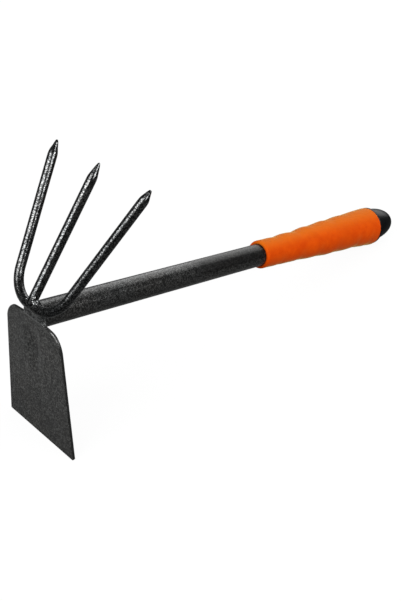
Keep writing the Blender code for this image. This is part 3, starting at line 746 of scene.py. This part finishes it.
def weld(name, nodes, pts, rad, lo, hi, k, reach, sink=0.05, h=0.28, lump=0.10, salt=50, paint=None, pits=0.05):
    """A bead that runs smoothly into the pieces it joins, cut off just under their skins."""
    lo, hi = np.array(lo, float), np.array(hi, float)
    n = np.ceil((hi - lo) / h).astype(int) + 1
    g = np.stack(np.meshgrid(*[lo[d] + np.arange(n[d]) * h for d in range(3)], indexing="ij"), -1)
    body = d_path(g, pts, rad)
    parts = np.minimum(np.minimum(d_bow(g), d_tube(g)), np.minimum(d_blade(g), d_tine(g))) + sink
    flat = g.reshape(-1, 3)
    rough = (((lattice(flat, 2.1, salt) - 0.5) * 2 + (lattice(flat, 1.1, salt + 1) - 0.5)) * lump).reshape(body.shape)
    f = smin(parts, body + rough, k)
    f = np.maximum(f, body - reach)
    V, F = surface_nets(f, lo, h)
    Q = np.array(F)
    n = np.cross(V[Q[:, 2]] - V[Q[:, 0]], V[Q[:, 3]] - V[Q[:, 1]])
    N = np.zeros_like(V)
    for c in range(4):
        np.add.at(N, Q[:, c], n)
    N /= np.maximum(np.linalg.norm(N, axis=1), 1e-9)[:, None]
    V, pit = hammered(V, N, pits, CELL, 0.6 * pits, 3)
    pit = 0.55 + 0.45 * pit if paint else pit
    ob = mesh_object(name, V, F, dimple=pit)
    return settle(ob, "root", nodes, paint or WELD_PAINT)


WELD_PAINT = enamel("weld_enamel", (0.030, 0.031, 0.031), (0.160, 0.162, 0.162), 0.60, 0.18, 0.14, 0.4)

ys = np.arange(-8.9, 7.4, 1.15)
pts = [np.array([-2.45 + 0.08 * sin(3 * y), y, 1.45 + 0.012 * y * y]) for y in ys]
pts += [plate(0.25, -10.35, 0.9), plate(-0.4, -9.4, 1.2), plate(0.30, -10.35, 0.05)]
weld("bead_front", "weld_front", pts, [2.0 + 0.06 * sin(2.1 * y) for y in ys] + [0.75, 0.9, 0.62],
     (-9, -15, -5), (5, 13, 9), 2.3, 1.9, salt=51, lump=0.16)

ang = np.radians(np.arange(184, 357, 9.5))
pts = []
for q in ang:
    y, z = 9.1 * cos(q), 9.1 * sin(q)
    pts.append(np.array([BLADE_X0 + BLADE_T * _b - BLADE_SLOPE * z + 0.85, y, z]))
weld("bead_blade", "weld_blade", pts, [1.35 + 0.12 * sin(5 * q) for q in ang],
     (-6, -14, -15), (8, 14, 4), 1.0, 0.9, salt=57, lump=0.18)

ang = np.radians(np.arange(44, 137, 9.0))
pts = [np.array([-0.25, 9.2 * cos(q), 9.2 * sin(q)]) for q in ang]
weld("bead_fork", "weld_bow", pts, [1.3 + 0.12 * sin(6 * q) for q in ang],
     (-6, -12, 3), (6, 12, 14), 0.9, 0.8, salt=63, lump=0.18)

for nm, cad, side in (("bead_prong_near", "weld_tine_near", -1), ("bead_prong_far", "weld_tine_far", 1)):
    pts = [fork(10.3, side * 3.9, -3.1), fork(10.7, side * 4.0, -1.9), fork(10.4, side * 3.7, -0.6)]
    rad = [1.2, 1.35, 1.1]
    if side < 0:
        pts += [fork(11.2, -2.3, -3.4), fork(13.4, -1.7, -3.5), fork(12.2, -3.3, -0.7), fork(9.4, -3.6, -2.2)]
        rad += [1.6, 1.35, 1.15, 1.35]
    weld(nm, cad, pts, rad, (-12, -8 if side < 0 else -1, 4), (3, 3 if side < 0 else 8, 18), 0.5, 0.7,
         salt=70 + side, lump=0.12, h=0.24, paint=ROD_PAINT, pits=0.014)


# ------------------------------------------------------------------ sleeve
def along(table, x):
    q, r = zip(*table)
    return sum(np.interp(x + d, q, r) for d in (-1.0, -0.5, 0, 0.5, 1.0)) / 5


def even(table, x):
    return sum(along(table, x + d) for d in np.linspace(-13, 13, 14)) / 14


def grip_radius(x, angle):
    """Radius at x; angle is 0 on the prong side. The ribs run out on the sleeve's two sides."""
    upper, lower = even(GRIP_UPPER, x), even(GRIP_LOWER, x) + 0.05
    r = 0.5 * (upper + lower) + 0.5 * (upper - lower) * np.cos(angle - radians(35))
    for table, mean, at in ((GRIP_UPPER, upper, 34), (GRIP_LOWER, lower - 0.05, 216)):
        r = r + (along(table, x) - mean) * np.clip(np.cos(angle - radians(at)), 0, 1) ** 1.6
    return r


M = 112
a = np.linspace(0, 2 * pi, M, endpoint=False)
rows = []
lip = 1.6
for k in range(9):
    w = pi / 2 * k / 9
    rows.append((GRIP_X0 + lip * 1.4 * (1 - cos(w)), -lip * (1 - sin(w)), None))
x0, fil = GRIP_X0 + lip * 1.4, 1.2
for x in np.linspace(x0, GRIP_X1 - fil, 190):
    rows.append((x, 0.0, None))
for k in range(1, 8):
    w = pi / 2 * k / 7
    rows.append((GRIP_X1 - fil + fil * sin(w), -fil * (1 - cos(w)), None))
rings = []
for x, dr, _n in rows:
    r = grip_radius(x, a) + dr
    p = np.stack([np.full(M, x), r * np.sin(a), r * np.cos(a)], 1)
    u = np.stack([np.zeros(M), np.sin(a), np.cos(a)], 1)
    soft = (lattice(p, 9.0, 91) - 0.5) * 0.16 + (lattice(p, 3.0, 92) - 0.5) * 0.05
    rings.append(p + u * soft[:, None])
rear, front = rings[-1], rings[0]
# a greyer, slightly darker tone in the valleys between the ribs, on the lower side
soil = np.zeros((len(rings), M))
for v in GRIP_VALLEYS:
    at = np.array([q[0] for q in rows])
    soil = np.maximum(soil, np.exp(-((at - v) / 4.2) ** 2)[:, None] * (0.45 * np.clip(np.cos(a - radians(205)), 0, 1) ** 1.5)[None])
for x, r in ((GRIP_X1, 13.6), (GRIP_X1 - 0.02, 11.5), (GRIP_X1, TUBE_R + 0.45), (GRIP_X1 - 0.5, TUBE_R + 0.06), (GRIP_X1 - 30, TUBE_R + 0.06),
             (GRIP_X0 + 20, TUBE_R + 0.06), (GRIP_X0 + 1.2, TUBE_R + 0.06), (GRIP_X0 + 0.45, TUBE_R + 0.14), (GRIP_X0 + 0.12, TUBE_R + 0.38)):
    rings.append(np.stack([np.full(M, x), r * np.sin(a), r * np.cos(a)], 1))
V = np.concatenate(rings)
soil = np.concatenate([soil.ravel(), np.zeros(len(V) - soil.size)])
# painted highlight: strongest on the sleeve's upper side
fade = 0.94 * np.clip(np.tile(np.cos(a), len(rings)), 0, 1) ** 4
grip = settle(mesh_object("soft_sleeve", V, ring_faces(len(rings), M, wrap_rows=True), sharp=60, soil=soil, fade=fade),
              "root", "grip_sleeve", GRIP_MAT)

# ------------------------------------------------------------------ plug
M = 96
a = np.linspace(0, 2 * pi, M, endpoint=False)
prof = [(330.0, 3.0), (330.0, 6.2), (330.8, 7.0), (RIM_X0, 7.0), (RIM_X0, RIM_R - 0.7), (RIM_X0 + 0.06, RIM_R - 0.3), (RIM_X0 + 0.3, RIM_R)]
prof += [(x, RIM_R) for x in (350.4, 350.8, 351.2, 351.5)]
prof += [(CAP_X0 - 0.16, RIM_R - 0.34), (CAP_X0, RIM_R - 0.9), (CAP_X0, CAP_R + 0.7), (CAP_X0 + 0.04, CAP_R + 0.25), (CAP_X0 + 0.3, CAP_R)]
for k in range(1, 60):
    u = sin(pi / 2 * k / 60)
    if CAP_LEN * u > 0.4:
        prof.append((CAP_X0 + CAP_LEN * u, CAP_R * max(1 - u ** CAP_POWER, 0) ** CAP_ROUND))
prof.append((CAP_X0 + CAP_LEN * 0.99995, CAP_R * 0.004))
V = np.concatenate([np.stack([np.full(M, x), r * np.sin(a), r * np.cos(a) - (RIM_DROP if r > CAP_R + 0.1 else -0.12)], 1) for x, r in prof])
cap = settle(mesh_object("round_plug", V, ring_faces(len(prof), M, cap0=True, cap1=True), sharp=45),
             "root", "end_cap", CAP_MAT)

# ------------------------------------------------------------------ floor
bm = bmesh.new()
bmesh.ops.create_grid(bm, x_segments=8, y_segments=8, size=6.0)
me = bpy.data.meshes.new("floor")
bm.to_mesh(me)
bm.free()
floor = bpy.data.objects.new("floor", me)
bpy.context.scene.collection.objects.link(floor)
floor.location = (0, 0, -0.0002)
mat, nt, bsdf = new_material("pale_floor")
bsdf.inputs["Base Color"].default_value = (0.05, 0.05, 0.05, 1)
bsdf.inputs["Roughness"].default_value = 0.9
bsdf.inputs["Specular IOR Level"].default_value = 0.1
bsdf.inputs["Emission Color"].default_value = (1, 1, 1, 1)
bsdf.inputs["Emission Strength"].default_value = 0.94
me.materials.append(mat)
floor.visible_glossy = False
floor.visible_diffuse = False

# ------------------------------------------------------------------ light
world = bpy.data.worlds.new("studio")
bpy.context.scene.world = world
world.use_nodes = True
wt = world.node_tree
bg = next(n for n in wt.nodes if n.type == "BACKGROUND")
bg.inputs["Color"].default_value = (1, 1, 1, 1)


def heading(azimuth, elevation):
    a, e = radians(azimuth), radians(elevation)
    return (sin(a) * cos(e), -cos(a) * cos(e), sin(e))


# the studio seen in reflections: dark, with the pale table showing low down on the plate's side
look = wt.nodes.new("ShaderNodeTexCoord").outputs["Generated"]
dot = wt.nodes.new("ShaderNodeVectorMath")
dot.operation = "DOT_PRODUCT"
wt.links.new(look, dot.inputs[0])
dot.inputs[1].default_value = heading(-172, -26)
sweep = ramp(wt, dot.outputs["Value"], [(0.66, 0.0), (0.80, 0.06), (0.90, 0.20), (0.98, 0.36)])
under = wt.nodes.new("ShaderNodeVectorMath")
under.operation = "DOT_PRODUCT"
wt.links.new(look, under.inputs[0])
under.inputs[1].default_value = (0.0, 0.0, -1.0)
table = ramp(wt, under.outputs["Value"], [(0.15, 0.0), (0.60, 0.035), (0.95, 0.085)])
below = wt.nodes.new("ShaderNodeVectorMath")
below.operation = "DOT_PRODUCT"
wt.links.new(look, below.inputs[0])
below.inputs[1].default_value = heading(98, -58)
rise = ramp(wt, below.outputs["Value"], [(0.70, 0.0), (0.90, 0.05), (1.0, 0.085)])
behind = wt.nodes.new("ShaderNodeVectorMath")
behind.operation = "DOT_PRODUCT"
wt.links.new(look, behind.inputs[0])
behind.inputs[1].default_value = heading(137, -4)
wall = ramp(wt, behind.outputs["Value"], [(0.94, 0.0), (0.985, 0.20), (1.0, 0.27)])
glow = math_node(wt, "ADD", math_node(wt, "ADD", math_node(wt, "ADD", sweep, table), math_node(wt, "ADD", rise, wall)), 0.02)
path = wt.nodes.new("ShaderNodeLightPath")
sharp = math_node(wt, "MULTIPLY", glow, path.outputs["Is Glossy Ray"])
even = math_node(wt, "MULTIPLY", path.outputs["Is Diffuse Ray"], 0.36)
seen = math_node(wt, "ADD", math_node(wt, "ADD", sharp, even), path.outputs["Is Camera Ray"])
wt.links.new(seen, bg.inputs["Strength"])

AIM = Vector((0.0, 0.0, 0.09))


def panel(name, direction, distance, width, height, radiance, spread=180.0):
    d = Vector(direction).normalized()
    light = bpy.data.lights.new(name, "AREA")
    light.shape = "RECTANGLE"
    light.size, light.size_y = width, height
    light.energy = radiance * pi * width * height
    light.spread = radians(spread)
    ob = bpy.data.objects.new(name, light)
    bpy.context.scene.collection.objects.link(ob)
    ob.location = AIM + d * distance
    ob.rotation_mode = "QUATERNION"
    ob.rotation_quaternion = d.to_track_quat("Z", "Y")
    return ob


panel("key_softbox", heading(-88, 40), 3.0, 2.60, 1.80, 6.0)
panel("front_fill", heading(14, 31), 3.0, 1.75, 1.50, 9.0)
panel("rear_panel", heading(114, 22), 3.0, 3.2, 2.2, 1.9)

# ------------------------------------------------------------------ camera
az, el, roll, F_PX = radians(-49.234), radians(26.453), radians(10.396), 866.79
back = np.array([sin(az) * cos(el), -cos(az) * cos(el), sin(el)])
fwd = -back
right = np.cross(fwd, [0, 0, 1.0])
right /= np.linalg.norm(right)
up = np.cross(right, fwd)
r2 = cos(roll) * right + sin(roll) * up
u2 = -sin(roll) * right + cos(roll) * up
eye = place([-286.124, -374.093, 259.162], inside=False)
R = np.stack([TURN @ r2, TURN @ u2, TURN @ back], 1)
cam = bpy.data.cameras.new("camera")
cam.sensor_fit = "AUTO"
cam.sensor_width = 36.0
cam.lens = F_PX * 36.0 / 601.0
cam.clip_start, cam.clip_end = 0.01, 50
camera = bpy.data.objects.new("camera", cam)
bpy.context.scene.collection.objects.link(camera)
m = Matrix([[*R[0], eye[0]], [*R[1], eye[1]], [*R[2], eye[2]], [0, 0, 0, 1]])
camera.matrix_world = m
bpy.context.scene.camera = camera

scene = bpy.context.scene
scene.view_settings.view_transform = "Standard"
scene.view_settings.look = "None"
scene.view_settings.exposure = 0.0
scene.view_settings.gamma = 1.0
